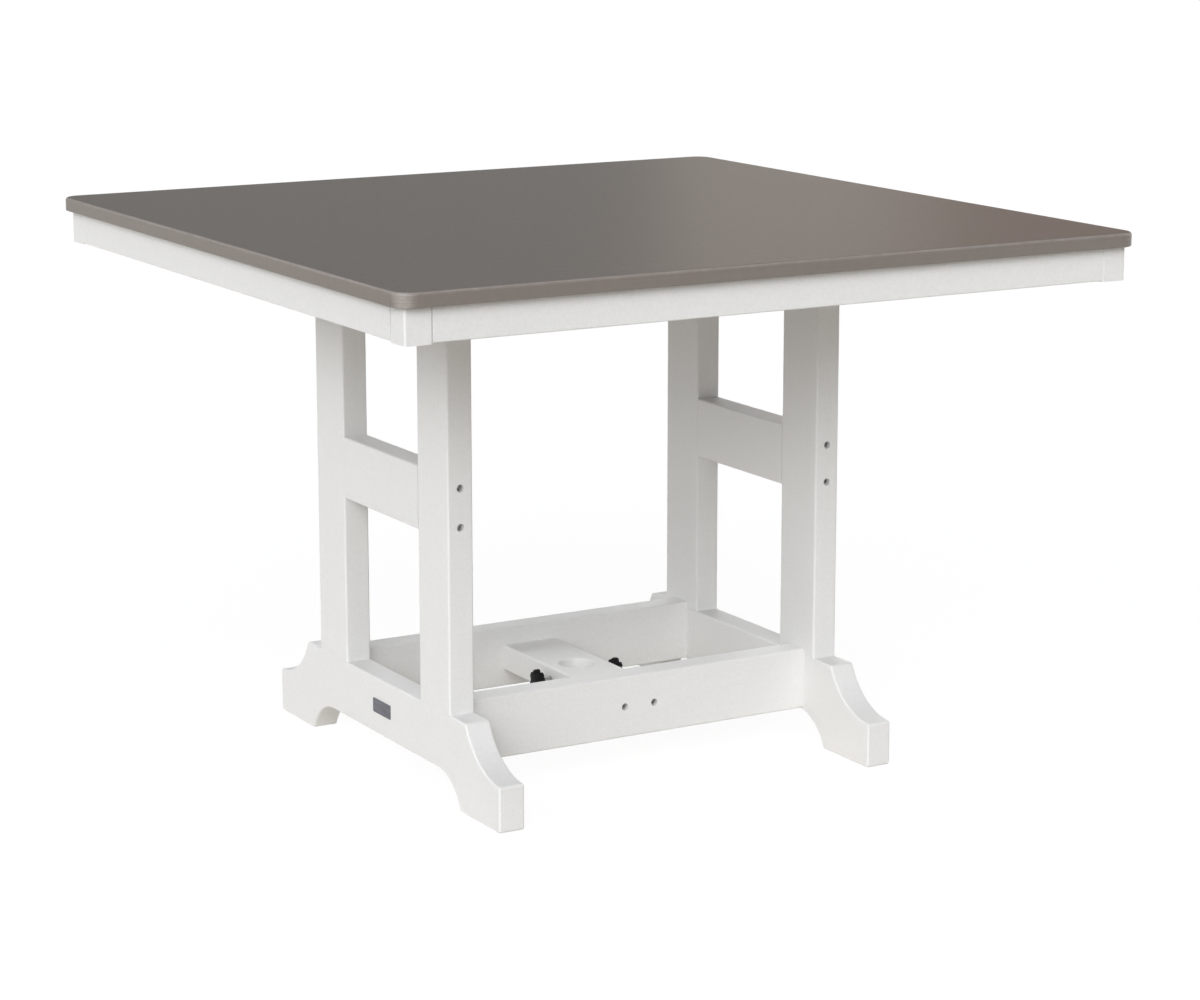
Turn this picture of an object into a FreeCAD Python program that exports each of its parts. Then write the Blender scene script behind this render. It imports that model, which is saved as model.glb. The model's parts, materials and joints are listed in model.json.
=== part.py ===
# Square patio table of plastic lumber: a sheet top on an apron, carried by two trestles.
# Millimetres. The origin is on the floor under the centre of the top, Z is up,
# X runs along the stretchers and Y along the feet.
import FreeCAD, Part
import math
import os
import re
import Sketcher

doc = FreeCAD.newDocument("patio_table")
sizes = doc.addObject("Spreadsheet::Sheet", "Sizes")

# Driving dimensions, one cell each.
driving_sizes = [
    # sheet top and the plug in its pole hole
    ("top_side", "1117.6"),
    ("table_height", "768.4"),
    ("top_thickness", "19.6"),
    ("top_corner_radius", "25.4"),
    ("top_upper_round", "4.5"),
    ("top_lower_round", "1.5"),
    ("pole_hole", "50.8"),
    ("plug_lip", "3.2"),
    ("plug_flange_depth", "5"),
    ("plug_spigot_depth", "11"),
    ("plug_wall", "3.5"),
    ("plug_round", "0.6"),
    ("plug_clearance", "0.25"),
    # apron and its corner blocks
    ("apron_inset", "13"),
    ("apron_height", "45.4"),
    ("apron_thickness", "25.4"),
    ("apron_round", "2"),
    ("block_side", "38.1"),
    ("block_round", "3"),
    ("block_drop", "1.5"),
    # trestles, stretchers and brace, all of one stock section
    ("stock_thickness", "38.1"),
    ("stock_width", "88.9"),
    ("stock_round", "3"),
    ("trestle_spread", "628.4"),
    ("leg_spread", "409"),
    ("mid_rail_level", "412.7"),
    ("stretcher_rise", "9.3"),
    ("brace_rim_round", "3"),
    # scroll-cut feet
    ("foot_length", "690"),
    ("foot_height", "127"),
    ("toe_height", "64"),
    ("scroll_radius", "104.3"),
    ("arch_height", "45.5"),
    ("arch_radius", "73.6"),
    ("pad_length", "112"),
    ("scroll_corner_round", "4"),
    # bare plate on the left foot
    ("tag_length", "54"),
    ("tag_height", "20.4"),
    ("tag_thickness", "1"),
    ("tag_corner_radius", "2"),
    ("tag_shift", "3"),
    # screws and where they go
    ("screw_head", "9.4"),
    ("head_depth", "3.6"),
    ("screw_shank", "4.8"),
    ("screw_clearance", "0.1"),
    ("head_clearance", "0.5"),
    ("tip_room", "2"),
    ("face_recess", "5"),
    ("deep_recess", "14"),
    ("cleat_recess", "1"),
    ("frame_bite", "42"),
    ("top_bite", "12"),
    ("mid_rail_screw_pitch", "54"),
    ("brace_screw_pitch", "48"),
    ("leg_screw_pitch", "44"),
    ("cleat_screw_inset", "60"),
    ("cleat_screw_spread", "150"),
    ("batten_screw_pitch", "240"),
    ("apron_screw_inset", "120"),
    # slanted screws that hold the stretcher ends
    ("slant_angle", "15"),
    ("slant_rise", "28"),
    ("slant_pitch", "19"),
    ("slant_grip", "34"),
    ("slant_bite", "24"),
    # clamp screws in the brace
    ("stud_diameter", "7.94"),
    ("stud_clearance", "0.05"),
    ("stud_tip_round", "1"),
    ("stud_setback", "0.6"),
    ("stud_in_knob", "9"),
    ("stud_hole_clearance", "0.5"),
    ("insert_wall", "1.53"),
    ("insert_length", "13"),
    ("insert_recess", "0.5"),
    ("knob_standoff", "12"),
    ("knob_hub", "15"),
    ("knob_hub_depth", "4.5"),
    ("knob_diameter", "35"),
    ("knob_head_depth", "8.5"),
    ("knob_dome", "2.5"),
    ("knob_flute", "9"),
    ("knob_flute_depth", "4.4"),
    ("knob_round", "1"),
    ("knob_lobes", "7"),
    ("left_knob_turn", "10"),
    ("right_knob_turn", "3"),
]

for row, (alias, number) in enumerate(driving_sizes, start=1):
    sizes.set(f"A{row}", alias)
    sizes.set(f"B{row}", number)
    sizes.setAlias(f"B{row}", alias)
doc.recompute()

# Places that several pieces share, written in the cells' names.
trestle_x = "(trestle_spread / 2 - stock_thickness / 2)"
leg_y = "(leg_spread / 2 - stock_width / 2)"
top_under = "(table_height - top_thickness)"
cleat_under = f"({top_under} - stock_thickness)"
apron_face = "(top_side / 2 - apron_inset)"
apron_middle = f"({apron_face} - apron_thickness / 2)"
apron_inner = f"({apron_face} - apron_thickness)"
apron_half = f"({apron_face} - block_side)"
apron_under = f"({top_under} - apron_height)"
block_place = f"({apron_face} - block_side / 2)"
block_under = f"({apron_under} - block_drop)"
block_height = "(apron_height + block_drop)"
batten_half = f"({trestle_x} - stock_width / 2)"
stretcher_half = "(trestle_spread / 2 - stock_thickness)"
brace_level = "(foot_height + stretcher_rise - stock_width / 2)"
shank_hole = "(screw_shank + 2 * screw_clearance)"
head_hole = "(screw_head + 2 * head_clearance)"
stud_hole = "(stud_diameter + 2 * stud_clearance)"
plug_flange = "(pole_hole + 2 * plug_lip)"
insert_outer = f"({stud_hole} + 2 * insert_wall)"
insert_reach = "(insert_recess + insert_length)"

sides = {-1: "left", 1: "right"}
ends = {-1: "front", 1: "rear"}
centres = {}


def full(text):
    # cell names get the sheet's name in front
    return re.sub(r"[a-z]+(?:_[a-z]+)+", lambda found: "Sizes." + found.group(0), text)


def value(text):
    return float(sizes.evalExpression(full(text)))


def signed(sign, text):
    return f"({sign} * {text})"


def shifted(place, sign, distance):
    return f"({place} + {sign} * {distance})"


def new_body(label, centre):
    body = doc.addObject("PartDesign::Body", label)
    body.Label = label
    for axis, place in zip("xyz", centre):
        body.setExpression(f"Placement.Base.{axis}", full(place))
    centres[label] = centre
    return body


def plane_sketch(body, normal, lift):
    # a sketch square to the axis named by normal, lifted along that axis
    role = {"X": "YZ_Plane", "Y": "XZ_Plane", "Z": "XY_Plane"}[normal]
    plane = [part for part in body.Origin.OriginFeatures if part.Role == role][0]
    sketch = body.newObject("Sketcher::SketchObject", f"{body.Name}_sketch")
    sketch.AttachmentSupport = [(plane, "")]
    sketch.MapMode = "FlatFace"
    facing = -1 if normal == "Y" else 1
    sketch.setExpression("AttachmentOffset.Base.z", full(signed(facing, lift)))
    return sketch


def dimension(sketch, text, kind, *where):
    index = sketch.addConstraint(Sketcher.Constraint(kind, *where, value(text)))
    sketch.setExpression(f"Constraints[{index}]", full(text))


def line(sketch, start, finish):
    segment = Part.LineSegment(FreeCAD.Vector(*start, 0), FreeCAD.Vector(*finish, 0))
    return sketch.addGeometry(segment, False)


def rectangle(sketch, width, height):
    # centred on the sketch's origin
    x = value(width) / 2
    y = value(height) / 2
    corners = [(-x, -y), (x, -y), (x, y), (-x, y)]
    for i in range(4):
        line(sketch, corners[i], corners[(i + 1) % 4])
    for i in range(4):
        sketch.addConstraint(Sketcher.Constraint("Coincident", i, 2, (i + 1) % 4, 1))
    for i in (0, 2):
        sketch.addConstraint(Sketcher.Constraint("Horizontal", i))
        sketch.addConstraint(Sketcher.Constraint("Vertical", i + 1))
    sketch.addConstraint(Sketcher.Constraint("Symmetric", 0, 1, 1, 2, -1, 1))
    dimension(sketch, width, "DistanceX", 0, 1, 0, 2)
    dimension(sketch, height, "DistanceY", 1, 1, 1, 2)


def circles(sketch, points, diameter):
    up = FreeCAD.Vector(0, 0, 1)
    for across, along in points:
        middle = FreeCAD.Vector(value(across), value(along), 0)
        index = sketch.addGeometry(Part.Circle(middle, up, value(diameter) / 2), False)
        dimension(sketch, across, "DistanceX", -1, 1, index, 3)
        dimension(sketch, along, "DistanceY", -1, 1, index, 3)
        dimension(sketch, diameter, "Diameter", index)


def add_feature(body, kind, profile, length, backwards=False, symmetric=False):
    feature = body.newObject(f"PartDesign::{kind}", f"{body.Name}_{kind}")
    feature.Profile = profile
    feature.SideType = "Symmetric" if symmetric else "One side"
    feature.Reversed = backwards
    feature.setExpression("Length", full(length))
    doc.recompute()
    return feature


def in_body_frame(body, normal, mouth, points):
    # table coordinates to the body's own, split into a lift and places in the sketch
    centre = dict(zip("XYZ", centres[body.Name]))
    across, along = [axis for axis in "XYZ" if axis != normal]
    lift = f"({mouth} - {centre[normal]})"
    places = [(f"{a} - {centre[across]}", f"{b} - {centre[along]}") for a, b in points]
    return lift, places


def drill(body, axis, mouth, points, diameter, depth):
    # round holes from the plane at mouth, in the direction of axis such as "+Z"
    lift, places = in_body_frame(body, axis[1], mouth, points)
    before = body.Shape.Volume
    sketch = plane_sketch(body, axis[1], lift)
    circles(sketch, places, diameter)
    backwards = (axis[0] == "+") != (axis[1] == "Y")
    add_feature(body, "Pocket", sketch, depth, backwards)
    least = len(points) * math.pi * value(diameter) ** 2 / 4 * value(depth) / 4
    if before - body.Shape.Volume < least:
        raise RuntimeError(f"holes in {body.Label} cut too little")


def pins(body, axis, mouth, points, diameter, length):
    # round pins from the plane at mouth, in the direction of axis
    lift, places = in_body_frame(body, axis[1], mouth, points)
    sketch = plane_sketch(body, axis[1], lift)
    circles(sketch, places, diameter)
    backwards = (axis[0] == "-") != (axis[1] == "Y")
    return add_feature(body, "Pad", sketch, length, backwards)


def round_edges(body, wanted, radius):
    base = body.Tip
    names = [f"Edge{i}" for i, edge in enumerate(base.Shape.Edges, start=1) if wanted(edge)]
    fillet = body.newObject("PartDesign::Fillet", f"{body.Name}_rounds")
    fillet.Base = (base, names)
    fillet.setExpression("Radius", full(radius))
    doc.recompute()
    return fillet


def runs_along(axis):
    way = FreeCAD.Vector(*[float(name == axis) for name in "XYZ"])
    return lambda edge: abs(edge.tangentAt(edge.FirstParameter).dot(way)) > 0.999


def in_plane(axis, text):
    # edges that lie wholly in one plane of the body's own frame
    number = "XYZ".index(axis)
    level = value(text)

    def lies_there(edge):
        box = edge.BoundBox
        low = (box.XMin, box.YMin, box.ZMin)[number]
        high = (box.XMax, box.YMax, box.ZMax)[number]
        return abs(low - level) < 1e-3 and abs(high - level) < 1e-3

    return lies_there


def board(label, size, centre, grain, radius):
    # a straight board whose long arrises are rounded
    body = new_body(label, centre)
    sketch = plane_sketch(body, "Z", "0")
    rectangle(sketch, size[0], size[1])
    add_feature(body, "Pad", sketch, size[2], symmetric=True)
    round_edges(body, runs_along(grain), radius)
    return body


def fasten(screws, axis, mouth, points, recess, grip, bite, clamped, receiver):
    # screws from the face at mouth, through the clamped piece into the receiver
    sign = 1 if axis[0] == "+" else -1
    seat = f"({recess} + head_depth)"
    drill(clamped, axis, mouth, points, head_hole, seat)
    drill(clamped, axis, shifted(mouth, sign, seat), points, shank_hole, f"{grip} - {seat}")
    drill(receiver, axis, shifted(mouth, sign, grip), points, shank_hole, f"{bite} + tip_room")
    pins(screws, axis, shifted(mouth, sign, recess), points, "screw_head", "head_depth")
    shank = f"{grip} - {seat} + {bite}"
    pins(screws, axis, shifted(mouth, sign, seat), points, "screw_shank", shank)


def screw_group(label):
    return new_body(label, ("0", "0", "0"))


def make_top():
    middle = f"({top_under} + top_thickness / 2)"
    top = new_body("table_top", ("0", "0", middle))
    sketch = plane_sketch(top, "Z", "0")
    rectangle(sketch, "top_side", "top_side")
    add_feature(top, "Pad", sketch, "top_thickness", symmetric=True)
    round_edges(top, runs_along("Z"), "top_corner_radius")
    round_edges(top, in_plane("Z", "top_thickness / 2"), "top_upper_round")
    round_edges(top, in_plane("Z", "-top_thickness / 2"), "top_lower_round")
    flange_hole = f"{plug_flange} + 2 * plug_clearance"
    drill(top, "-Z", "table_height", [("0", "0")], flange_hole, "plug_flange_depth")
    ledge = "(table_height - plug_flange_depth)"
    drill(top, "-Z", ledge, [("0", "0")], "pole_hole", "top_thickness - plug_flange_depth")
    return top


def make_plug():
    # a moulded cup whose flange lies flush in the top
    plug = new_body("umbrella_plug", ("0", "0", "table_height"))
    pins(plug, "-Z", "table_height", [("0", "0")], plug_flange, "plug_flange_depth")
    round_edges(plug, in_plane("Z", "0"), "plug_round")
    ledge = "(table_height - plug_flange_depth)"
    spigot = "(pole_hole - 2 * plug_clearance)"
    pins(plug, "-Z", ledge, [("0", "0")], spigot, "plug_spigot_depth")
    tip = f"({ledge} - plug_spigot_depth)"
    drill(plug, "+Z", tip, [("0", "0")], f"{spigot} - 2 * plug_wall", "plug_spigot_depth")


def make_aprons():
    level = f"({apron_under} + apron_height / 2)"
    aprons = {}
    for sign, name in ends.items():
        size = (f"2 * {apron_half}", "apron_thickness", "apron_height")
        place = ("0", signed(sign, apron_middle), level)
        aprons[name] = board(f"apron_{name}", size, place, "X", "apron_round")
    for sign, name in sides.items():
        size = ("apron_thickness", f"2 * {apron_half}", "apron_height")
        place = (signed(sign, apron_middle), "0", level)
        aprons[name] = board(f"apron_{name}", size, place, "Y", "apron_round")
    return aprons


def make_blocks():
    level = f"({block_under} + {block_height} / 2)"
    size = ("block_side", "block_side", block_height)
    blocks = {}
    for end, end_name in ends.items():
        for side, side_name in sides.items():
            place = (signed(side, block_place), signed(end, block_place), level)
            label = f"corner_block_{end_name}_{side_name}"
            blocks[end, side] = board(label, size, place, "Z", "block_round")
    return blocks


def make_cleats():
    size = ("stock_width", f"2 * {apron_inner}", "stock_thickness")
    level = f"({cleat_under} + stock_thickness / 2)"
    cleats = {}
    for side, name in sides.items():
        place = (signed(side, trestle_x), "0", level)
        cleats[side] = board(f"top_cleat_{name}", size, place, "Y", "stock_round")
    return cleats


def make_battens():
    size = (f"2 * {batten_half}", "stock_width", "stock_thickness")
    level = f"({cleat_under} + stock_thickness / 2)"
    battens = {}
    for end, name in ends.items():
        place = ("0", signed(end, leg_y), level)
        battens[end] = board(f"top_batten_{name}", size, place, "X", "stock_round")
    return battens


def make_legs():
    length = f"({cleat_under} - foot_height)"
    size = ("stock_thickness", "stock_width", length)
    level = f"(foot_height + {length} / 2)"
    legs = {}
    for end, end_name in ends.items():
        for side, side_name in sides.items():
            place = (signed(side, trestle_x), signed(end, leg_y), level)
            label = f"leg_{end_name}_{side_name}"
            legs[end, side] = board(label, size, place, "Z", "stock_round")
    return legs


def make_mid_rails():
    size = ("stock_thickness", "leg_spread - 2 * stock_width", "stock_width")
    rails = {}
    for side, name in sides.items():
        place = (signed(side, trestle_x), "0", "mid_rail_level")
        rails[side] = board(f"mid_rail_{name}", size, place, "Y", "stock_round")
    return rails


def make_stretchers():
    size = (f"2 * {stretcher_half}", "stock_thickness", "stock_width")
    rails = {}
    for end, name in ends.items():
        place = ("0", signed(end, leg_y), brace_level)
        rails[end] = board(f"stretcher_{name}", size, place, "X", "stock_round")
    return rails


def scroll_outline(sketch):
    # Foot seen from the side: an arch below, and a scroll cut from the flat top to each toe.
    half = value("foot_length / 2")
    top = value("foot_height")
    toe = value("toe_height")
    scroll = value("scroll_radius")
    arch = value("arch_height")
    bow = value("arch_radius")
    pad = half - value("pad_length")
    crown = pad - math.sqrt(bow**2 - (bow - arch) ** 2)
    flat = half - math.sqrt(scroll**2 - (toe + scroll - top) ** 2)
    heel = math.atan2(bow - arch, pad - crown)
    lip = math.atan2(toe + scroll - top, half - flat)
    quarter = math.pi / 2

    def arc(x, y, radius, start, finish):
        circle = Part.Circle(FreeCAD.Vector(x, y, 0), FreeCAD.Vector(0, 0, 1), radius)
        return sketch.addGeometry(Part.ArcOfCircle(circle, start, finish), False)

    ceiling = line(sketch, (-crown, arch), (crown, arch))
    arch_right = arc(crown, arch - bow, bow, heel, quarter)
    pad_right = line(sketch, (pad, 0), (half, 0))
    toe_right = line(sketch, (half, 0), (half, toe))
    scroll_right = arc(half, toe + scroll, scroll, 2 * quarter + lip, 3 * quarter)
    crest = line(sketch, (flat, top), (-flat, top))
    scroll_left = arc(-half, toe + scroll, scroll, 3 * quarter, 4 * quarter - lip)
    toe_left = line(sketch, (-half, toe), (-half, 0))
    pad_left = line(sketch, (-half, 0), (-pad, 0))
    arch_left = arc(-crown, arch - bow, bow, quarter, 2 * quarter - heel)

    joins = [
        (arch_right, 1, pad_right, 1),
        (pad_right, 2, toe_right, 1),
        (toe_right, 2, scroll_right, 2),
        (scroll_right, 1, crest, 1),
        (crest, 2, scroll_left, 2),
        (scroll_left, 1, toe_left, 1),
        (toe_left, 2, pad_left, 1),
        (pad_left, 2, arch_left, 2),
    ]
    for join in joins:
        sketch.addConstraint(Sketcher.Constraint("Coincident", *join))
    sketch.addConstraint(Sketcher.Constraint("Tangent", ceiling, 2, arch_right, 2))
    sketch.addConstraint(Sketcher.Constraint("Tangent", ceiling, 1, arch_left, 1))
    pairs = [
        (ceiling, 2, ceiling, 1),
        (pad_right, 1, pad_left, 2),
        (pad_right, 2, pad_left, 1),
        (toe_right, 2, toe_left, 1),
        (crest, 1, crest, 2),
    ]
    for pair in pairs:
        sketch.addConstraint(Sketcher.Constraint("Symmetric", *pair, -2))
    sketch.addConstraint(Sketcher.Constraint("Horizontal", pad_right))
    sketch.addConstraint(Sketcher.Constraint("Vertical", toe_right))
    sketch.addConstraint(Sketcher.Constraint("Vertical", scroll_right, 3, scroll_right, 2))
    sketch.addConstraint(Sketcher.Constraint("Vertical", scroll_left, 3, scroll_left, 1))
    sketch.addConstraint(Sketcher.Constraint("PointOnObject", pad_right, 1, -1))
    dimension(sketch, "foot_length", "DistanceX", toe_left, 2, toe_right, 1)
    dimension(sketch, "foot_height", "DistanceY", -1, 1, crest, 1)
    dimension(sketch, "toe_height", "DistanceY", toe_right, 1, toe_right, 2)
    dimension(sketch, "scroll_radius", "Radius", scroll_right)
    dimension(sketch, "arch_height", "DistanceY", -1, 1, ceiling, 1)
    dimension(sketch, "arch_radius", "Radius", arch_right)
    dimension(sketch, "pad_length", "DistanceX", pad_right, 1, pad_right, 2)


def make_feet():
    feet = {}
    for side, name in sides.items():
        foot = new_body(f"foot_{name}", (signed(side, trestle_x), "0", "0"))
        sketch = plane_sketch(foot, "X", "0")
        scroll_outline(sketch)
        add_feature(foot, "Pad", sketch, "stock_thickness", symmetric=True)
        across = runs_along("X")
        smooth = in_plane("Z", "arch_height")
        round_edges(foot, lambda edge: across(edge) and not smooth(edge), "scroll_corner_round")
        faces = [in_plane("X", f"{sign} * stock_thickness / 2") for sign in (-1, 1)]
        round_edges(foot, lambda edge: any(face(edge) for face in faces), "stock_round")
        feet[side] = foot
    return feet


def make_brace():
    length = f"2 * {leg_y} - stock_thickness"
    size = ("stock_width", length, "stock_thickness")
    brace = board("umbrella_brace", size, ("0", "0", brace_level), "Y", "stock_round")
    upper = f"({brace_level} + stock_thickness / 2)"
    drill(brace, "-Z", upper, [("0", "0")], "pole_hole", "stock_thickness")

    def is_rim(edge):
        return edge.Curve.TypeId == "Part::GeomCircle" and edge.Closed

    round_edges(brace, is_rim, "brace_rim_round")
    face = "stock_width / 2"
    wide = f"{insert_outer} + 2 * stud_clearance"
    narrow = "stud_diameter + 2 * stud_hole_clearance"
    for side, axis in ((-1, "+X"), (1, "-X")):
        mouth = signed(side, face)
        inner = shifted(mouth, -side, insert_reach)
        drill(brace, axis, mouth, [("0", brace_level)], wide, insert_reach)
        reach = f"stock_width / 2 - {insert_reach} - pole_hole / 4"
        drill(brace, axis, inner, [("0", brace_level)], narrow, reach)
    return brace


def turned_body(label, side, place):
    # local Z points along X, away from the middle of the table
    body = new_body(label, (signed(side, place), "0", brace_level))
    turn = FreeCAD.Rotation(FreeCAD.Vector(0, 1, 0), side * 90)
    body.Placement = FreeCAD.Placement(body.Placement.Base, turn)
    centres[label] = ("0", "0", "0")
    return body


def make_clamps():
    face = "(stock_width / 2)"
    tip = "(pole_hole / 2 + stud_setback)"
    knob_place = f"({face} + knob_standoff)"
    stud_length = f"{knob_place} + stud_in_knob - {tip}"
    for side, name in sides.items():
        insert = turned_body(f"thread_insert_{name}", side, f"({face} - insert_recess)")
        axis_point = [("0", "0")]
        pins(insert, "-Z", "0", axis_point, insert_outer, "insert_length")
        drill(insert, "-Z", "0", axis_point, stud_hole, "insert_length")

        stud = turned_body(f"clamp_stud_{name}", side, tip)
        pins(stud, "+Z", "0", axis_point, "stud_diameter", stud_length)
        round_edges(stud, in_plane("Z", "0"), "stud_tip_round")

        knob = turned_body(f"clamp_knob_{name}", side, knob_place)
        make_knob(knob, side, f"{name}_knob_turn")


def make_knob(knob, side, lean):
    # hub, fluted head and a low dome, turned about local Z, one lobe leaning that far from upright
    hub = "knob_hub / 2"
    rim = "knob_diameter / 2"
    back = "knob_hub_depth"
    shoulder = "(knob_hub_depth + knob_head_depth)"
    crown = f"({shoulder} + knob_dome)"
    bulge = f"(({rim}) ^ 2 + knob_dome ^ 2) / (2 * knob_dome)"
    sketch = plane_sketch(knob, "Y", "0")
    corners = [("0", "0"), (hub, "0"), (hub, back), (rim, back), (rim, shoulder)]
    points = [(value(x), value(y)) for x, y in corners]
    for start, finish in zip(points, points[1:]):
        line(sketch, start, finish)
    radius = value(bulge)
    low = value(crown) - radius
    circle = Part.Circle(FreeCAD.Vector(0, low, 0), FreeCAD.Vector(0, 0, 1), radius)
    spread = math.asin(value(rim) / radius)
    quarter = math.pi / 2
    dome = sketch.addGeometry(Part.ArcOfCircle(circle, quarter - spread, quarter), False)
    spine = line(sketch, (0, value(crown)), (0, 0))
    for i in range(3):
        sketch.addConstraint(Sketcher.Constraint("Coincident", i, 2, i + 1, 1))
    sketch.addConstraint(Sketcher.Constraint("Coincident", 3, 2, dome, 1))
    sketch.addConstraint(Sketcher.Constraint("Coincident", dome, 2, spine, 1))
    sketch.addConstraint(Sketcher.Constraint("Coincident", spine, 2, 0, 1))
    sketch.addConstraint(Sketcher.Constraint("Coincident", 0, 1, -1, 1))
    for i in (0, 2):
        sketch.addConstraint(Sketcher.Constraint("Horizontal", i))
        sketch.addConstraint(Sketcher.Constraint("Vertical", i + 1))
    sketch.addConstraint(Sketcher.Constraint("Vertical", spine))
    sketch.addConstraint(Sketcher.Constraint("PointOnObject", dome, 3, -2))
    dimension(sketch, hub, "DistanceX", 0, 1, 0, 2)
    dimension(sketch, back, "DistanceY", 1, 1, 1, 2)
    dimension(sketch, rim, "DistanceX", -1, 1, 2, 2)
    dimension(sketch, "knob_head_depth", "DistanceY", 3, 1, 3, 2)
    dimension(sketch, crown, "DistanceY", -1, 1, spine, 1)
    turning = knob.newObject("PartDesign::Revolution", f"{knob.Name}_turning")
    turning.Profile = sketch
    turning.ReferenceAxis = (sketch, ["V_Axis"])
    turning.Angle = 360
    doc.recompute()

    flute_sketch = plane_sketch(knob, "Z", "0")
    flute_reach = f"({rim} + knob_flute / 2 - knob_flute_depth)"
    first_flute = f"(180 / knob_lobes + {lean})"
    across = f"-({side}) * {flute_reach} * cos({first_flute})"
    along = f"{flute_reach} * sin({first_flute})"
    circles(flute_sketch, [(across, along)], "knob_flute")
    before = knob.Shape.Volume
    flute = add_feature(knob, "Pocket", flute_sketch, crown, backwards=True)
    if before - knob.Shape.Volume < 1:
        raise RuntimeError("the flute misses the knob")
    flutes = knob.newObject("PartDesign::PolarPattern", f"{knob.Name}_flutes")
    flutes.Originals = [flute]
    flutes.Axis = (sketch, ["V_Axis"])
    flutes.Angle = 360
    flutes.setExpression("Occurrences", full("knob_lobes"))
    knob.Tip = flutes
    doc.recompute()

    inner = value("knob_hub") / 2
    base = value(back)

    def on_head(edge):
        box = edge.BoundBox
        reach = max(abs(box.XMin), abs(box.XMax), abs(box.YMin), abs(box.YMax))
        return reach > inner + 1 and box.ZMax > base - 1e-3

    round_edges(knob, on_head, "knob_round")
    drill(knob, "+Z", "0", [("0", "0")], stud_hole, "stud_in_knob")


def make_tag():
    place = ("-(trestle_spread / 2 + tag_thickness / 2)", "tag_shift", "(arch_height + foot_height) / 2")
    tag = new_body("tag_plate", place)
    sketch = plane_sketch(tag, "X", "0")
    rectangle(sketch, "tag_length", "tag_height")
    add_feature(tag, "Pad", sketch, "tag_thickness", symmetric=True)
    round_edges(tag, runs_along("X"), "tag_corner_radius")


def slanted_cylinder(body, kind, start, way, diameter, length):
    # start is in table coordinates, way is the sign of X that the axis climbs towards
    centre = centres[body.Name]
    cylinder = body.newObject(f"PartDesign::{kind}Cylinder", f"{body.Name}_slant")
    lean = "90 - slant_angle"
    turn = FreeCAD.Rotation(FreeCAD.Vector(0, way, 0), value(lean))
    cylinder.Placement = FreeCAD.Placement(FreeCAD.Vector(), turn)
    cylinder.setExpression("Placement.Rotation.Angle", full(lean))
    for axis, place, middle in zip("xyz", start, centre):
        cylinder.setExpression(f"Placement.Base.{axis}", full(f"{place} - {middle}"))
    cylinder.setExpression("Radius", full(f"{diameter} / 2"))
    cylinder.setExpression("Height", full(length))
    doc.recompute()


def fasten_stretchers(stretchers, feet):
    # slanted screws from below, through each stretcher's end into the foot
    screws = screw_group("stretcher_screws")
    climb = "sin(slant_angle)"
    run = "cos(slant_angle)"
    joint_level = f"({brace_level} - stock_width / 2 + slant_rise)"

    def on_axis(side, y, distance):
        # a point on the screw's axis, measured outwards from the stretcher's end face
        x = signed(side, f"({stretcher_half} + {distance} * {run})")
        return (x, y, f"({joint_level} + {distance} * {climb})")

    pocket = f"(stock_width / {climb})"
    for end in ends:
        for side in sides:
            for row in (-1, 1):
                y = shifted(signed(end, leg_y), row, "slant_pitch / 2")
                rail = stretchers[end]
                low = on_axis(side, y, f"(-slant_grip - {pocket})")
                seat = on_axis(side, y, "(-slant_grip)")
                head = on_axis(side, y, "(-slant_grip - head_depth)")
                slanted_cylinder(rail, "Subtractive", low, side, head_hole, pocket)
                through = "slant_grip + slant_bite"
                slanted_cylinder(rail, "Subtractive", seat, side, shank_hole, through)
                deep = f"{through} + tip_room"
                slanted_cylinder(feet[side], "Subtractive", seat, side, shank_hole, deep)
                slanted_cylinder(screws, "Additive", head, side, "screw_head", "head_depth")
                slanted_cylinder(screws, "Additive", seat, side, "screw_shank", through)


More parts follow.
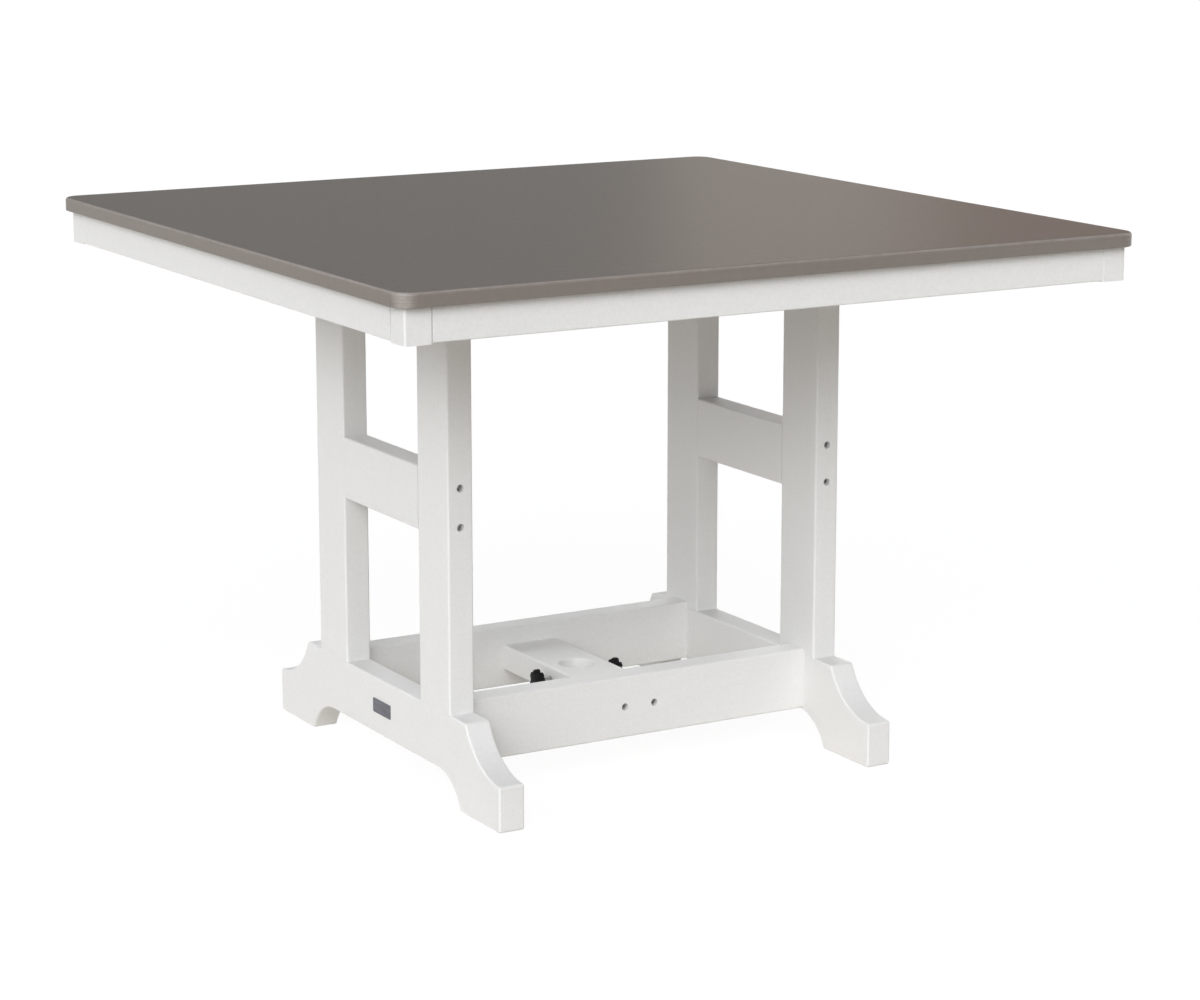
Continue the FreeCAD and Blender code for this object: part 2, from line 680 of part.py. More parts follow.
def fasten_all(top, aprons, blocks, cleats, battens, legs, mid_rails, feet, stretchers, brace):
    mid_rail_screws = screw_group("mid_rail_screws")
    foot_screws = screw_group("foot_screws")
    cleat_screws = screw_group("cleat_screws")
    for (end, side), leg in legs.items():
        x = signed(side, trestle_x)
        inward = "+Y" if end < 0 else "-Y"
        face = signed(end, "(leg_spread / 2)")
        rows = [shifted("mid_rail_level", row, "mid_rail_screw_pitch / 2") for row in (-1, 1)]
        points = [(x, z) for z in rows]
        rail = mid_rails[side]
        fasten(
            mid_rail_screws, inward, face, points, "face_recess", "stock_width", "frame_bite", leg, rail
        )
        y = signed(end, leg_y)
        points = [(x, shifted(y, row, "leg_screw_pitch / 2")) for row in (-1, 1)]
        from_floor = "(arch_height + deep_recess)"
        fasten(
            foot_screws, "+Z", "0", points, from_floor, "foot_height", "frame_bite", feet[side], leg
        )
        fasten(
            cleat_screws, "-Z", top_under, points, "cleat_recess", "stock_thickness", "frame_bite",
            cleats[side], leg,
        )

    brace_screws = screw_group("brace_screws")
    points = [(signed(row, "(brace_screw_pitch / 2)"), brace_level) for row in (-1, 1)]
    for end, rail in stretchers.items():
        inward = "+Y" if end < 0 else "-Y"
        face = signed(end, f"({leg_y} + stock_thickness / 2)")
        fasten(
            brace_screws, inward, face, points, "face_recess", "stock_thickness", "frame_bite", rail, brace
        )

    top_screws = screw_group("top_screws")
    for side, cleat in cleats.items():
        x = signed(side, trestle_x)
        near = "(cleat_screw_spread / 2)"
        far = f"({apron_inner} - cleat_screw_inset)"
        points = [(x, signed(row, place)) for row in (-1, 1) for place in (near, far)]
        fasten(
            top_screws, "+Z", cleat_under, points, "deep_recess", "stock_thickness", "top_bite", cleat, top
        )
    for end, batten in battens.items():
        y = signed(end, leg_y)
        points = [(signed(row, "(batten_screw_pitch / 2)"), y) for row in (-1, 1)]
        fasten(
            top_screws, "+Z", cleat_under, points, "deep_recess", "stock_thickness", "top_bite", batten, top
        )

    apron_screws = screw_group("apron_screws")
    along = [signed(row, f"({apron_half} - apron_screw_inset)") for row in (-1, 0, 1)]
    for sign, name in list(ends.items()) + list(sides.items()):
        across = signed(sign, apron_middle)
        if name in ends.values():
            points = [(place, across) for place in along]
        else:
            points = [(across, place) for place in along]
        fasten(
            apron_screws, "+Z", apron_under, points, "deep_recess", "apron_height", "top_bite",
            aprons[name], top,
        )

    block_screws = screw_group("block_screws")
    for (end, side), block in blocks.items():
        points = [(signed(side, block_place), signed(end, block_place))]
        fasten(
            block_screws, "+Z", block_under, points, "deep_recess", block_height, "top_bite", block, top
        )

    fasten_stretchers(stretchers, feet)


def export():
    os.makedirs("parts", exist_ok=True)
    doc.recompute()
    for item in doc.Objects:
        if "Invalid" in item.State or "Error" in item.State:
            raise RuntimeError(f"{item.Label} failed: {item.State}")
    bodies = [item for item in doc.Objects if item.TypeId == "PartDesign::Body"]
    for body in bodies:
        if body.Shape.isNull() or not body.Shape.isValid():
            raise RuntimeError(f"{body.Label} has no valid shape")
    for body in bodies:
        body.Shape.exportStep(f"parts/{body.Label}.step")
        print(body.Label, len(body.Shape.Solids), round(body.Shape.Volume / 1000, 2), "cm3")


table_top = make_top()
make_plug()
feet = make_feet()
stretchers = make_stretchers()
fasten_all(
    table_top,
    make_aprons(),
    make_blocks(),
    make_cleats(),
    make_battens(),
    make_legs(),
    make_mid_rails(),
    feet,
    stretchers,
    make_brace(),
)
make_clamps()
make_tag()
export()
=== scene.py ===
import json
import math

import bmesh
import bpy
import numpy as np
from mathutils import Matrix, Vector


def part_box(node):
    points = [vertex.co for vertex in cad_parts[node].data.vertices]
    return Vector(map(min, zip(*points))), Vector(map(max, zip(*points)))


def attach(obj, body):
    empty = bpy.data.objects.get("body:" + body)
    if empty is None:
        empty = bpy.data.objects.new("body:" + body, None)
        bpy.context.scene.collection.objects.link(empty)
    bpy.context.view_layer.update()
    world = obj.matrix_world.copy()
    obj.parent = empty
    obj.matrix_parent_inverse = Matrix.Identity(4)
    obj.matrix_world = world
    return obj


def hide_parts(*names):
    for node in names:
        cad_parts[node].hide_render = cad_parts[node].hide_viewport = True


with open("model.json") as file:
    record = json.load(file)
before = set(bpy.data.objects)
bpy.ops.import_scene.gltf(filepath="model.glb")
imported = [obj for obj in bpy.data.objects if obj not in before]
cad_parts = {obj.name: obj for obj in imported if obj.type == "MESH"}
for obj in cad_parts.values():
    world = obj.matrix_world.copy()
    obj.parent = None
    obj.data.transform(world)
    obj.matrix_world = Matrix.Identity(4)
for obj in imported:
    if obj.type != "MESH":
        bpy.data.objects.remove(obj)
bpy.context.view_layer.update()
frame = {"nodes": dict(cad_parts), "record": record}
nodes = frame["nodes"]
mm = 0.001
weld = 0.001 * mm  # vertices closer than this are one
crease = math.radians(32)  # edges bent further than this stay sharp
noiseSpan = (0.3, 0.7)  # most values of a noise texture lie between these
print("frame loaded with", len(nodes), "nodes")


# node helpers for the finishes

def newFinish(name):
    finish = bpy.data.materials.new(name)
    finish.use_nodes = True
    tree = finish.node_tree
    coords = tree.nodes.new("ShaderNodeTexCoord")
    return finish, tree, tree.nodes["Principled BSDF"], coords


def stretched(tree, coords, scale):
    mapping = tree.nodes.new("ShaderNodeMapping")
    mapping.inputs["Scale"].default_value = scale
    tree.links.new(coords, mapping.inputs["Vector"])
    return mapping.outputs["Vector"]


def noise(tree, coords, size, detail=3, roughness=0.5, distortion=0):
    texture = tree.nodes.new("ShaderNodeTexNoise")
    texture.inputs["Scale"].default_value = 1 / size
    texture.inputs["Detail"].default_value = detail
    texture.inputs["Roughness"].default_value = roughness
    texture.inputs["Distortion"].default_value = distortion
    tree.links.new(coords, texture.inputs["Vector"])
    return texture.outputs["Fac"]


def maths(tree, operation, *values):
    step = tree.nodes.new("ShaderNodeMath")
    step.operation = operation
    for socket, value in zip(step.inputs, values):
        if isinstance(value, bpy.types.NodeSocket):
            tree.links.new(value, socket)
        else:
            socket.default_value = value
    return step.outputs[0]


def layered(tree, textures, shares):  # weighted sum
    total = 0
    for texture, share in zip(textures, shares):
        total = maths(tree, "MULTIPLY_ADD", texture, share, total)
    return total


def ranged(tree, factor, low, high, given=noiseSpan):
    span = tree.nodes.new("ShaderNodeMapRange")
    span.inputs["From Min"].default_value, span.inputs["From Max"].default_value = given
    span.inputs["To Min"].default_value = low
    span.inputs["To Max"].default_value = high
    tree.links.new(factor, span.inputs["Value"])
    return span.outputs["Result"]


def toned(tree, shader, factor, dark, light, given=noiseSpan):
    ramp = tree.nodes.new("ShaderNodeValToRGB")
    for element, place, tone in zip(ramp.color_ramp.elements, given, (dark, light)):
        element.position = place
        element.color = (*tone, 1)
    tree.links.new(factor, ramp.inputs["Fac"])
    tree.links.new(ramp.outputs["Color"], shader.inputs["Base Color"])
    return ramp


def bumped(tree, shader, height, depth):
    bump = tree.nodes.new("ShaderNodeBump")
    bump.inputs["Strength"].default_value = 1
    bump.inputs["Distance"].default_value = depth
    tree.links.new(height, bump.inputs["Height"])
    tree.links.new(bump.outputs["Normal"], shader.inputs["Normal"])


# white plastic lumber: fine extrusion grain along each board, faint mottle, tiny pores
lumber = {
    "dark": (0.775, 0.770, 0.754),
    "light": (0.825, 0.820, 0.805),
    "roughness": (0.36, 0.50),
    "grainWidth": 2.2 * mm,
    "grainLength": 60 * mm,
    "mottle": 4 * mm,
    "pores": 0.9 * mm,
    "relief": 0.10 * mm,
    "toneShares": (0.25, 0.75),  # grain, mottle
    "reliefShares": (0.3, 0.8, 0.3),  # grain, mottle, pores
}


def whiteLumber(axis):
    finish, tree, shader, coords = newFinish("whiteLumber" + "XYZ"[axis])
    place = coords.outputs["Object"]
    scale = [1, 1, 1]
    scale[axis] = lumber["grainWidth"] / lumber["grainLength"]
    along = stretched(tree, place, scale)
    grain = noise(tree, along, lumber["grainWidth"], detail=5, roughness=0.6, distortion=0.4)
    mottle = noise(tree, place, lumber["mottle"], detail=2)
    pores = noise(tree, place, lumber["pores"], detail=2)
    tone = layered(tree, (grain, mottle), lumber["toneShares"])
    toned(tree, shader, tone, lumber["dark"], lumber["light"])
    tree.links.new(ranged(tree, mottle, *lumber["roughness"]), shader.inputs["Roughness"])
    height = layered(tree, (grain, mottle, pores), lumber["reliefShares"])
    bumped(tree, shader, height, lumber["relief"])
    return finish


# taupe sheet: shallow hammered skin on the flats, fine saw lines round the paler cut edge;
# a painted highlight lightens the corners where the edge turns and the rounds along it
sheet = {
    "dark": (0.149, 0.126, 0.109),
    "light": (0.234, 0.204, 0.182),
    "burnished": (0.47, 0.44, 0.41),
    "roughness": (0.27, 0.35),
    "gloss": 0.15,
    "dimple": 12 * mm,
    "speckle": 1.4 * mm,
    "relief": 0.4 * mm,
    "sawLine": 0.9 * mm,
    "sawReach": 140 * mm,
    "sawDepth": 0.36,  # share of the relief
    "round": (0.86, 0.985),  # how level the skin is where it gives way to the cut edge's paler tone, which also covers the rounds as a painted highlight
    "skinShares": (0.85, 0.15),  # dimples, speckle
    "wearShares": (0.68, 0.24),  # painted highlight on the turning corners, painted highlight on the rounds
    "wearBetween": 0.3,  # share of the corners' painted highlight left between two saw lines
    "toneShares": (0.2, 0.12, 0.30, 0.26, 1),  # speckle, dimples, saw lines, edge, painted highlight
    "toneSpan": (0.1, 0.65),  # where that sum is dark and where it is light; 1 is the painted highlight's tone
}


def taupeSheet():
    finish, tree, shader, coords = newFinish("taupeSheet")
    place = coords.outputs["Object"]
    dimples = noise(tree, place, sheet["dimple"], detail=1.5, roughness=0.4)
    speckle = noise(tree, place, sheet["speckle"])
    thin = sheet["sawLine"] / sheet["sawReach"]
    lines = noise(tree, stretched(tree, place, (thin, thin, 1)), sheet["sawLine"], roughness=0.6)
    facing = tree.nodes.new("ShaderNodeSeparateXYZ")
    tree.links.new(coords.outputs["Normal"], facing.inputs["Vector"])
    level = maths(tree, "ABSOLUTE", facing.outputs["Z"])
    onFlat = ranged(tree, level, 0, 1, sheet["round"])
    # the cut edge's paler tone reaches over the rounds too, where it is a painted highlight
    onEdge = ranged(tree, level, 1, 0, sheet["round"])
    skin = maths(tree, "MULTIPLY", layered(tree, (dimples, speckle), sheet["skinShares"]), onFlat)
    cut = maths(tree, "MULTIPLY", lines, onEdge)
    # painted highlight: the corners where the edge turns, broken by the saw lines, and the rounds
    # are lightened
    turning = maths(tree, "MULTIPLY", facing.outputs["X"], facing.outputs["Y"])
    cornerHighlight = ranged(tree, lines, sheet["wearBetween"], 1)
    cornerHighlight = maths(tree, "MULTIPLY", maths(tree, "ABSOLUTE", turning), cornerHighlight)
    roundHighlight = maths(tree, "MULTIPLY", onEdge, level)
    paintedHighlight = layered(tree, (cornerHighlight, roundHighlight), sheet["wearShares"])
    tone = layered(tree, (speckle, dimples, cut, onEdge, paintedHighlight), sheet["toneShares"])
    ramp = toned(tree, shader, tone, sheet["dark"], sheet["light"], sheet["toneSpan"])
    # last stop: the painted highlight's tone
    ramp.color_ramp.elements.new(1).color = (*sheet["burnished"], 1)
    tree.links.new(ranged(tree, speckle, *sheet["roughness"]), shader.inputs["Roughness"])
    shader.inputs["Specular IOR Level"].default_value = sheet["gloss"]
    bumped(tree, shader, layered(tree, (skin, cut), (1, sheet["sawDepth"])), sheet["relief"])
    return finish


# moulded black plastic of the knobs
knobPlastic = {
    "dark": (0.005, 0.005, 0.006),
    "light": (0.012, 0.012, 0.013),
    "roughness": (0.40, 0.56),
    "gloss": 0.14,
    "grain": 0.7 * mm,
    "cloud": 5 * mm,
    "relief": 0.05 * mm,
    "toneShares": (0.4, 0.6),  # grain, cloud
}


def blackPlastic():
    finish, tree, shader, coords = newFinish("blackPlastic")
    place = coords.outputs["Object"]
    grain = noise(tree, place, knobPlastic["grain"])
    cloud = noise(tree, place, knobPlastic["cloud"])
    tone = layered(tree, (grain, cloud), knobPlastic["toneShares"])
    toned(tree, shader, tone, knobPlastic["dark"], knobPlastic["light"])
    tree.links.new(ranged(tree, cloud, *knobPlastic["roughness"]), shader.inputs["Roughness"])
    shader.inputs["Specular IOR Level"].default_value = knobPlastic["gloss"]
    bumped(tree, shader, grain, knobPlastic["relief"])
    return finish


# bare metals: two tones, how metallic, roughness, and the size and relief of their fine marks
studSteel = {
    "dark": (0.60, 0.60, 0.59), "light": (0.76, 0.76, 0.75), "metal": 1.0,
    "roughness": (0.26, 0.42), "marks": (0.8 * mm, 0.8 * mm, 0.8 * mm), "relief": 0.015 * mm,
}
# screw heads toned dark: painted shade of the deep counterbores they sit in
screwSteel = {
    "dark": (0.20, 0.20, 0.20), "light": (0.34, 0.34, 0.33), "metal": 1.0,
    "roughness": (0.24, 0.38), "marks": (0.6 * mm, 0.6 * mm, 0.6 * mm), "relief": 0.012 * mm,
}
insertZinc = {
    "dark": (0.40, 0.40, 0.40), "light": (0.55, 0.55, 0.56), "metal": 1.0,
    "roughness": (0.34, 0.50), "marks": (0.7 * mm, 0.7 * mm, 0.7 * mm), "relief": 0.012 * mm,
}
plateMetal = {  # brushed along its length
    "dark": (0.060, 0.060, 0.074), "light": (0.190, 0.190, 0.218), "metal": 0.35,
    "roughness": (0.38, 0.52), "marks": (4 * mm, 60 * mm, 4 * mm), "relief": 0.02 * mm,
}
metalClouds = {
    "size": 8,  # times the finest mark
    "toneShares": (0.6, 0.4),  # marks, clouds
}


def bareMetal(name, look):
    finish, tree, shader, coords = newFinish(name)
    place = coords.outputs["Object"]
    finest = min(look["marks"])
    along = stretched(tree, place, [finest / size for size in look["marks"]])
    marks = noise(tree, along, finest, detail=4, roughness=0.6)
    clouds = noise(tree, place, metalClouds["size"] * finest, detail=2)
    tone = layered(tree, (marks, clouds), metalClouds["toneShares"])
    toned(tree, shader, tone, look["dark"], look["light"])
    tree.links.new(ranged(tree, clouds, *look["roughness"]), shader.inputs["Roughness"])
    shader.inputs["Metallic"].default_value = look["metal"]
    bumped(tree, shader, marks, look["relief"])
    return finish


lumberAlong = [whiteLumber(axis) for axis in range(3)]
finishes = {
    "top_sheet": taupeSheet(),
    "black_plastic": blackPlastic(),
    "stud_steel": bareMetal("studSteel", studSteel),
    "screw_steel": bareMetal("screwSteel", screwSteel),
    "insert_zinc": bareMetal("insertZinc", insertZinc),
    "plate_metal": bareMetal("plateMetal", plateMetal),
}
for part in frame["record"]["subparts"]:
    node, slot = nodes[part["node"]], part["material_slot"]
    if slot == "white_lumber":  # the grain runs along the board's longest side
        low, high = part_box(part["node"])
        size = high - low
        finish = lumberAlong[max(range(3), key=lambda axis: size[axis])]
    else:
        finish = finishes[slot]
    for place in node.material_slots:
        place.material = finish


# modelling helpers

def drawnTo(bm, edges, radius, height):  # draws a rim on to a new ring round the Z axis
    drawn = bmesh.ops.extrude_edge_only(bm, edges=edges)["geom"]
    rim = [item for item in drawn if isinstance(item, bmesh.types.BMVert)]
    for vert in rim:
        angle = math.atan2(vert.co.y, vert.co.x)
        reach = radius(angle) if callable(radius) else radius
        vert.co = (reach * math.cos(angle), reach * math.sin(angle), height)
    rim = set(rim)
    edges = [item for item in drawn if isinstance(item, bmesh.types.BMEdge)]
    return [edge for edge in edges if rim.issuperset(edge.verts)]


def turned(rings, segments):  # closed body of rings round the Z axis, each (radius, height)
    bm = bmesh.new()
    (radius, height), *others = rings
    bmesh.ops.create_circle(bm, segments=segments, radius=radius)
    bmesh.ops.translate(bm, verts=bm.verts, vec=(0, 0, height))
    rim = bm.edges[:]
    for radius, height in others:
        rim = drawnTo(bm, rim, radius, height)
    bmesh.ops.holes_fill(bm, edges=bm.edges, sides=0)
    bmesh.ops.recalc_face_normals(bm, faces=bm.faces)
    return bm


def pointed(origin, outward, up):  # local Z along outward, local X along up
    side = outward.cross(up)
    turn = Matrix((up, side, outward)).transposed().to_4x4()
    return Matrix.Translation(origin) @ turn


def newObject(name, bm, finish):
    mesh = bpy.data.meshes.new(name)
    bm.to_mesh(mesh)
    bm.free()
    mesh.materials.append(finish)
    made = bpy.data.objects.new(name, mesh)
    bpy.context.scene.collection.objects.link(made)
    return made


def newPiece(name, bm, slot, body, node):
    piece = newObject(name, bm, finishes[slot])
    piece.data.shade_smooth()
    piece.data.set_sharp_from_angle(angle=crease)
    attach(piece, body)
    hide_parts(node)


# threaded stud, from its dog point outwards
stud = {
    "pitch": 25.4 / 18 * mm,
    "threadDepth": 0.76 * mm,
    "crest": 1 / 8,  # flat on the crest and in the root, as shares of the pitch
    "root": 1 / 4,
    "steps": 18,  # round one turn
    "spareTurns": 3,  # wound past the ends and cut off
    "point": 1.6 * mm,
    "pointStep": 0.2 * mm,  # inside the root
    "pointChamfer": 0.4 * mm,
}


def threadedStud(radius, length):
    pitch, foot = stud["pitch"], radius - stud["threadDepth"]
    flank = (1 - stud["crest"] - stud["root"]) / 2
    rise = [(foot, 0), (foot, stud["root"] / 2), (radius, stud["root"] / 2 + flank)]
    fall = [(reach, 1 - share) for reach, share in reversed(rise)]
    bm = bmesh.new()
    outline = [bm.verts.new((reach, 0, share * pitch)) for reach, share in rise + fall]
    seams = [bm.edges.new(pair) for pair in zip(outline, outline[1:])]
    turns = math.ceil(length / pitch) + stud["spareTurns"]
    bmesh.ops.spin(
        bm, geom=outline + seams, cent=(0, 0, 0), axis=(0, 0, 1), angle=turns * 2 * math.pi,
        dvec=(0, 0, pitch / stud["steps"]), steps=turns * stud["steps"],
    )
    bmesh.ops.remove_doubles(bm, verts=bm.verts, dist=weld)
    bmesh.ops.translate(bm, verts=bm.verts, vec=(0, 0, -pitch))
    for height, side in ((stud["point"], -1), (length, 1)):  # cut the ragged turns off square
        bmesh.ops.bisect_plane(
            bm, geom=bm.verts[:] + bm.edges[:] + bm.faces[:], plane_co=(0, 0, height),
            plane_no=(0, 0, side), clear_outer=True,
        )
    tip = [edge for edge in bm.edges if edge.is_boundary and edge.verts[0].co.z < length / 2]
    slim = foot - stud["pointStep"]
    tip = drawnTo(bm, tip, slim, stud["point"])
    tip = drawnTo(bm, tip, slim, stud["pointChamfer"])
    drawnTo(bm, tip, slim - stud["pointChamfer"], 0)
    bmesh.ops.holes_fill(bm, edges=bm.edges, sides=0)
    bmesh.ops.remove_doubles(bm, verts=bm.verts, dist=weld)
    bmesh.ops.recalc_face_normals(bm, faces=bm.faces)
    return bm


# lobed clamp knob: blind bore, hub, fluted rim, domed face with a grooved cap
knob = {
    "lobes": 7,
    "pointsPerLobe": 40,
    "fluteDepth": 4.4 * mm,
    "fluteRadius": 4.5 * mm,
    "lean": {"left": math.radians(10), "right": math.radians(-3)},  # of the top lobe
    "boreDepth": 9.2 * mm,
    "bore": 4.1 * mm,
    "boreChamfer": 0.3 * mm,
    "hub": 7.5 * mm,
    "hubChamfer": 0.6 * mm,
    "hubFillet": 0.7 * mm,
    "hubHeight": 4.5 * mm,
    "back": ((0.93, 0), (0.975, 0.4 * mm), (1, 1.4 * mm)),  # share of the outline, rise
    "dome": 2.5 * mm,
    "front": (  # share of the outline, rise from where the dome starts
        (1, -1.8 * mm), (0.985, -0.9 * mm), (0.94, -0.1 * mm), (0.87, 0.6 * mm),
    ),
    "cap": (  # radius, drop from the middle of the face: shoulder, groove, middle
        (11 * mm, 1.1 * mm), (8.2 * mm, 0.6 * mm), (8 * mm, 1.1 * mm), (7.6 * mm, 1.1 * mm),
        (7.4 * mm, 0.5 * mm), (4.5 * mm, 0.12 * mm), (1.5 * mm, 0),
    ),
}


def lobedKnob(radius, height, lean):
    spacing = 2 * math.pi / knob["lobes"]
    flute = knob["fluteRadius"]
    centre = radius - knob["fluteDepth"] + flute  # of each round flute, half way between two lobes

    def lobes(share):
        def reach(angle):
            off = (angle - lean) % spacing - spacing / 2
            inside = flute ** 2 - (centre * math.sin(off)) ** 2
            cut = centre * math.cos(off) - math.sqrt(inside) if inside > 0 else radius
            return share * min(radius, cut)
        return reach

    bore, chamfer = knob["bore"], knob["boreChamfer"]
    hub, back, rim = knob["hub"], knob["hubHeight"], height - knob["dome"]
    rings = [
        (bore, knob["boreDepth"]),
        (bore, chamfer),
        (bore + chamfer, 0),
        (hub - knob["hubChamfer"], 0),
        (hub, knob["hubChamfer"]),
        (hub, back - knob["hubFillet"]),
        (hub + knob["hubFillet"], back),
        *((lobes(share), back + rise) for share, rise in knob["back"]),
        *((lobes(share), rim + rise) for share, rise in knob["front"]),
        *((reach, height - drop) for reach, drop in knob["cap"]),
    ]
    return turned(rings, knob["lobes"] * knob["pointsPerLobe"])


for side, outward in (("left", Vector((-1, 0, 0))), ("right", Vector((1, 0, 0)))):
    low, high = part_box(f"clamp_stud_{side}")
    middle, size = (low + high) / 2, high - low
    place = pointed(middle - outward * size.x / 2, outward, Vector((0, 0, 1)))
    bm = threadedStud(size.z / 2, size.x)
    bmesh.ops.transform(bm, matrix=place, verts=bm.verts)
    newPiece(f"{side}ClampStud", bm, "stud_steel", f"{side}_clamp_stud", f"clamp_stud_{side}")
    low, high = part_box(f"clamp_knob_{side}")
    radius = max(*(high - middle).yz, *(middle - low).yz)
    inner = Vector(((low + high).x / 2 - outward.x * (high - low).x / 2, middle.y, middle.z))
    bm = lobedKnob(radius, (high - low).x, knob["lean"][side])
    bmesh.ops.transform(bm, matrix=pointed(inner, outward, Vector((0, 0, 1))), verts=bm.verts)
    newPiece(f"{side}ClampKnob", bm, "black_plastic", f"{side}_clamp_knob", f"clamp_knob_{side}")
print("clamps: threaded studs and lobed knobs")


# pan-head screws with a six-lobed drive, one piece for each CAD group
screw = {
    "segments": 24,
    "driveRadius": 0.36,  # shares of the head's radius
    "driveWave": 0.17,
    "driveLobes": 6,
    "driveFoot": 0.93,  # share of its width at the mouth
    "driveDepth": 0.5,  # share of the head's height
    "head": (  # shares of the head's radius and height
        (0.97, 0), (1, 0.12), (1, 0.30), (0.96, 0.52), (0.86, 0.76), (0.70, 0.93), (0.50, 1),
    ),
    "tip": 4.5 * mm,
    "tipEnd": 0.2,  # share of the shank's radius
    "headFrom": 0.8,  # points of the CAD screw beyond this share of its radius are its head
}


def screwPlaces(name):  # each screw of a CAD group: seat under its head, outward direction, sizes
    bm = bmesh.new()
    bm.from_mesh(nodes[name].data)
    bmesh.ops.remove_doubles(bm, verts=bm.verts, dist=weld)
    bm.verts.index_update()
    bm.verts.ensure_lookup_table()
    waiting, places = set(range(len(bm.verts))), []
    while waiting:
        island, front = [], [min(waiting)]
        waiting.remove(front[0])
        while front:
            vert = bm.verts[front.pop()]
            island.append(vert.co)
            near = {link.other_vert(vert).index for link in vert.link_edges} & waiting
            waiting -= near
            front.extend(sorted(near))
        points = np.array(island)
        middle = points.mean(0)
        axis = np.linalg.svd(points - middle)[2][0]
        along = (points - middle) @ axis
        across = np.linalg.norm(points - middle - np.outer(along, axis), axis=1)
        head = across > screw["headFrom"] * across.max()
        if along[head].mean() < 0:
            axis, along = -axis, -along
        seat = middle + axis * along[head].min()
        places.append({
            "seat": Vector(seat), "outward": Vector(axis), "head": across.max(),
            "headHeight": along[head].max() - along[head].min(),
            "shank": across[~head].max(), "length": along[head].min() - along.min(),
        })
    bm.free()
    return places


def panHeadScrew(head, headHeight, shank, length):
    def drive(share):
        def reach(angle):
            wave = screw["driveWave"] * math.cos(screw["driveLobes"] * angle)
            return share * head * screw["driveRadius"] * (1 + wave)
        return reach

    rings = [
        (screw["tipEnd"] * shank, -length),
        (shank, screw["tip"] - length),
        (shank, 0),
        *((share * head, rise * headHeight) for share, rise in screw["head"]),
        (drive(1), headHeight),
        (drive(screw["driveFoot"]), headHeight * (1 - screw["driveDepth"])),
    ]
    return turned(rings, screw["segments"])


screwGroups = [
    part["node"] for part in frame["record"]["subparts"] if part["material_slot"] == "screw_steel"
]
for name in screwGroups:
    group = bmesh.new()
    for place in screwPlaces(name):
        one = panHeadScrew(place["head"], place["headHeight"], place["shank"], place["length"])
        outward = place["outward"]
        seated = pointed(place["seat"], outward, outward.orthogonal().normalized())
        bmesh.ops.transform(one, matrix=seated, verts=one.verts)
        solid = bpy.data.meshes.new("screw")
        one.to_mesh(solid)
        one.free()
        group.from_mesh(solid)
        bpy.data.meshes.remove(solid)
    first, *others = name.split("_")
    title = first + "".join(word.title() for word in others)
    newPiece(title, group, "screw_steel", "table", name)
print("screws:", len(screwGroups), "groups")


# pale floor and white surroundings
stage = {
    "floorSide": 60,
    "floorTone": (0.77, 0.72, 0.65),
    "floorGlow": (0.90, 1.035),  # share and level of plain white in it; the rest takes the shadow
    "floorDrop": 0.2 * mm,
    "glows": (  # soft patches of light round the table: bearing, height, brightness
        (165, 25, 1.2), (190, 24, 2.3), (215, 25, 2.6), (240, 26, 4.2), (268, 37, 1.7),
        (262, 56, 1.6), (60, 18, 4.5), (95, 16, 2.5),
    ),
    "glowTone": (0.98, 1.0, 1.03),
    "glowReach": (6, 24),  # degrees round each glow's middle, bright and dark
}


def shown(tree, output, light, look):  # look is for the camera, reflections and clear pieces
    path = tree.nodes.new("ShaderNodeLightPath")
    seen = maths(tree, "MAXIMUM", path.outputs["Is Camera Ray"], path.outputs["Is Glossy Ray"])
    seen = maths(tree, "MAXIMUM", seen, path.outputs["Is Transmission Ray"])
    blend = tree.nodes.new("ShaderNodeMixShader")
    tree.links.new(seen, blend.inputs["Fac"])
    tree.links.new(light, blend.inputs[1])
    tree.links.new(look, blend.inputs[2])
    tree.links.new(blend.outputs["Shader"], output.inputs["Surface"])


floorFinish = bpy.data.materials.new("paleFloor")
floorFinish.use_nodes = True
tree = floorFinish.node_tree
tree.nodes.clear()
output = tree.nodes.new("ShaderNodeOutputMaterial")
matt = tree.nodes.new("ShaderNodeBsdfDiffuse")
matt.inputs["Color"].default_value = (*stage["floorTone"], 1)
shadowed = tree.nodes.new("ShaderNodeBsdfDiffuse")
shadowed.inputs["Color"].default_value = (1, 1, 1, 1)
white = tree.nodes.new("ShaderNodeEmission")
seen = tree.nodes.new("ShaderNodeMixShader")
seen.inputs["Fac"].default_value, white.inputs["Strength"].default_value = stage["floorGlow"]
tree.links.new(shadowed.outputs["BSDF"], seen.inputs[1])
tree.links.new(white.outputs["Emission"], seen.inputs[2])
shown(tree, output, matt.outputs["BSDF"], seen.outputs["Shader"])

bm = bmesh.new()
bmesh.ops.create_grid(bm, x_segments=1, y_segments=1, size=stage["floorSide"] / 2)
bmesh.ops.translate(bm, verts=bm.verts, vec=(0, 0, -stage["floorDrop"]))
floor = newObject("paleFloor", bm, floorFinish)

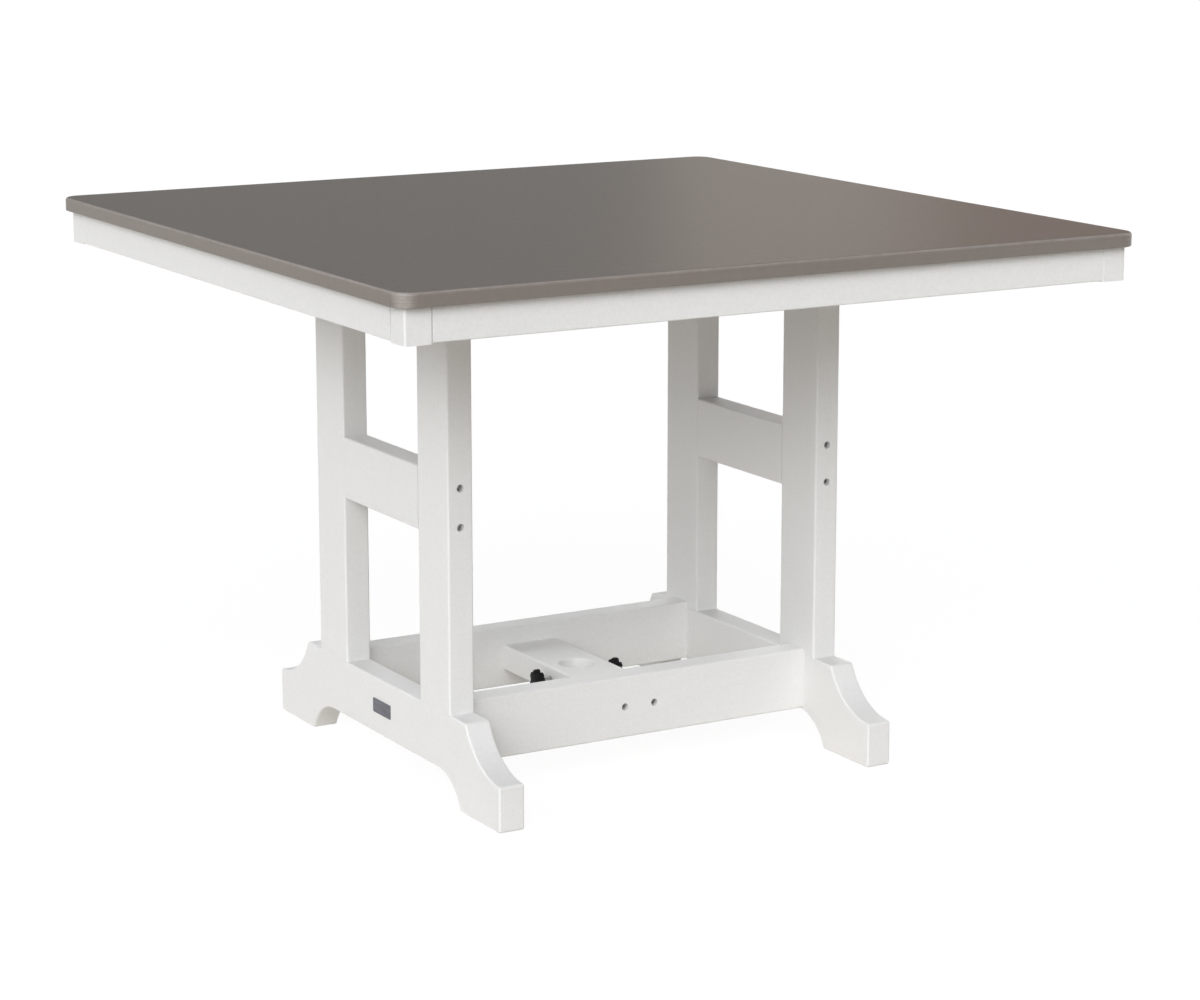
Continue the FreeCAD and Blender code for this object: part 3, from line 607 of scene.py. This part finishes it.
world = bpy.data.worlds.new("whiteStudio")
bpy.context.scene.world = world
world.use_nodes = True
tree = world.node_tree
tree.nodes.clear()
output = tree.nodes.new("ShaderNodeOutputWorld")
sky = tree.nodes.new("ShaderNodeBackground")
white = tree.nodes.new("ShaderNodeBackground")
white.inputs["Color"].default_value = (1, 1, 1, 1)
white.inputs["Strength"].default_value = 1
coords = tree.nodes.new("ShaderNodeTexCoord")
bright, dark = (math.cos(math.radians(reach)) for reach in stage["glowReach"])
total = 0
for bearing, height, level in stage["glows"]:
    swing = Matrix.Rotation(math.radians(bearing), 3, "Z")
    tilt = Matrix.Rotation(math.radians(-height), 3, "Y")
    facing = tree.nodes.new("ShaderNodeVectorMath")
    facing.operation = "DOT_PRODUCT"
    facing.inputs[1].default_value = swing @ tilt @ Vector((1, 0, 0))
    tree.links.new(coords.outputs["Generated"], facing.inputs[0])
    glow = ranged(tree, facing.outputs["Value"], 0, level, (dark, bright))
    glow.node.interpolation_type = "SMOOTHSTEP"
    total = maths(tree, "ADD", glow, total)
tree.links.new(total, sky.inputs["Strength"])
sky.inputs["Color"].default_value = (*stage["glowTone"], 1)
shown(tree, output, sky.outputs["Background"], white.outputs["Background"])
print("stage: floor and surroundings")


# camera at the photograph's viewing angle
view = {
    "spot": (-2.213394, -3.889154, 1.329488),
    "yaw": -0.52496,
    "pitch": -0.19972,
    "lens": 95.341,
    "sensor": 36,
    "shift": -0.04,
}
lens = bpy.data.cameras.new("photoView")
lens.lens, lens.sensor_width, lens.shift_y = view["lens"], view["sensor"], view["shift"]
camera = bpy.data.objects.new("photoView", lens)
camera.location = view["spot"]
camera.rotation_euler = (math.pi / 2 + view["pitch"], 0, view["yaw"])
bpy.context.scene.collection.objects.link(camera)
bpy.context.scene.camera = camera
bpy.context.scene.view_settings.view_transform = "Standard"

# toned card behind the table that only reflections see: it shades the glare across the top
card = {
    "distance": 7.6,  # from the camera
    "middle": 2.2,  # height
    "size": (7.0, 2.6),
    "tones": (  # metres to the right of the view's middle, colour
        (-0.05, (0.157, 0.158, 0.153)),
        (0.10, (0.215, 0.202, 0.190)),
        (0.21, (0.505, 0.450, 0.397)),
        (0.62, (0.540, 0.477, 0.420)),
        (0.94, (0.285, 0.180, 0.140)),
    ),
}
turn = Matrix.Rotation(view["yaw"], 4, "Z")
right, ahead = turn @ Vector((1, 0, 0)), turn @ Vector((0, 1, 0))
middle = Vector(view["spot"]) + ahead * card["distance"]
middle.z = card["middle"]
cardFinish = bpy.data.materials.new("backCard")
cardFinish.use_nodes = True
tree = cardFinish.node_tree
tree.nodes.clear()
coords = tree.nodes.new("ShaderNodeTexCoord")
across = tree.nodes.new("ShaderNodeVectorMath")
across.operation = "DOT_PRODUCT"
across.inputs[1].default_value = right
tree.links.new(coords.outputs["Object"], across.inputs[0])
centre, half = middle.dot(right), card["size"][0] / 2
share = ranged(tree, across.outputs["Value"], 0, 1, (centre - half, centre + half))
ramp = tree.nodes.new("ShaderNodeValToRGB")
stops = ramp.color_ramp.elements
while len(stops) < len(card["tones"]):
    stops.new(0.5)
for stop, (place, tone) in zip(stops, card["tones"]):
    stop.position = 0.5 + place / card["size"][0]
    stop.color = (*tone, 1)
tree.links.new(share, ramp.inputs["Fac"])
glow = tree.nodes.new("ShaderNodeEmission")
tree.links.new(ramp.outputs["Color"], glow.inputs["Color"])
output = tree.nodes.new("ShaderNodeOutputMaterial")
tree.links.new(glow.outputs["Emission"], output.inputs["Surface"])
bm = bmesh.new()
bmesh.ops.create_grid(bm, x_segments=1, y_segments=1, size=0.5)
bmesh.ops.scale(bm, vec=(*card["size"], 1), verts=bm.verts)
standing = Matrix.Translation(middle) @ turn @ Matrix.Rotation(math.pi / 2, 4, "X")
bmesh.ops.transform(bm, matrix=standing, verts=bm.verts)
backCard = newObject("backCard", bm, cardFinish)
backCard.visible_camera = False
backCard.visible_diffuse = False
backCard.visible_transmission = False
backCard.visible_shadow = False
print("camera and card")
